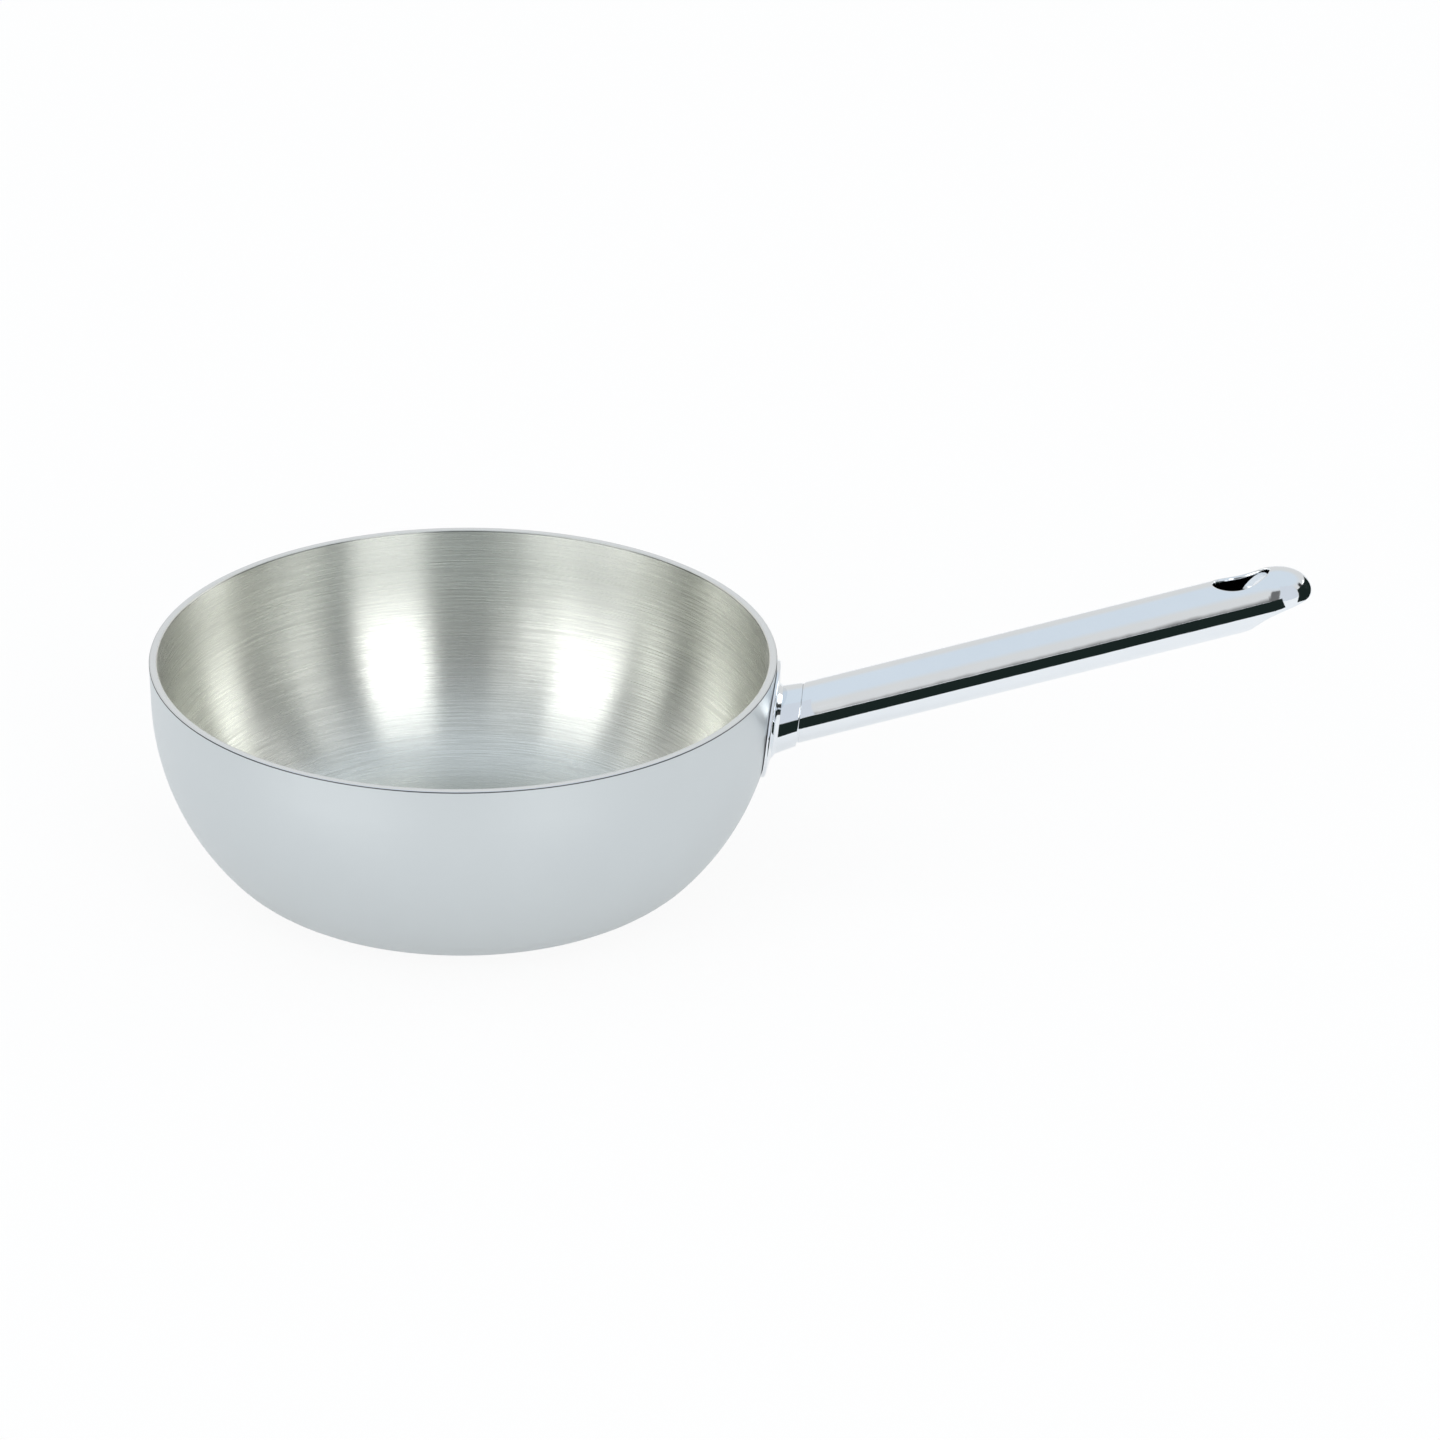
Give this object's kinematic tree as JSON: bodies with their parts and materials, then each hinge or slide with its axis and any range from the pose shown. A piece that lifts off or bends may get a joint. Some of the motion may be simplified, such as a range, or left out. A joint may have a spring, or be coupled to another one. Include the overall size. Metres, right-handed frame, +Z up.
{
  "type": "saucier pan",
  "caption": "Round-bellied saucier pan of clad steel with a flat base, a flat rim and a polished tube handle that ends in an oval hanging hole.",
  "frame": {"origin": "centre of the flat base's underside, on the surface that the pan stands on", "axes": "+Z up along the bowl's axis, +X from the bowl's axis towards the handle's tip"},
  "size_m": [0.4554, 0.2464, 0.136],
  "materials": {
    "satin_steel": "fine satin, even all round",
    "brushed_steel": "brushed round the bowl's axis",
    "ply_steel": "ground smooth where it shows at the rim",
    "core_aluminium": "ground smooth where it shows at the rim",
    "polished_steel": "mirror polished"
  },
  "bodies": {
    "root": {"outer_skin": "satin_steel", "induction_ply_middle": "ply_steel", "induction_ply_inner": "ply_steel", "outer_bonding_ply": "core_aluminium", "aluminium_core": "core_aluminium", "inner_bonding_ply": "core_aluminium", "cooking_skin": "brushed_steel", "mounting_flange": "polished_steel", "flange_weld_nuggets": "ply_steel", "handle_neck": "polished_steel", "neck_weld": "polished_steel", "tube_seam_weld": "polished_steel", "handle_tube": "polished_steel"}
  },
  "joints": []
}
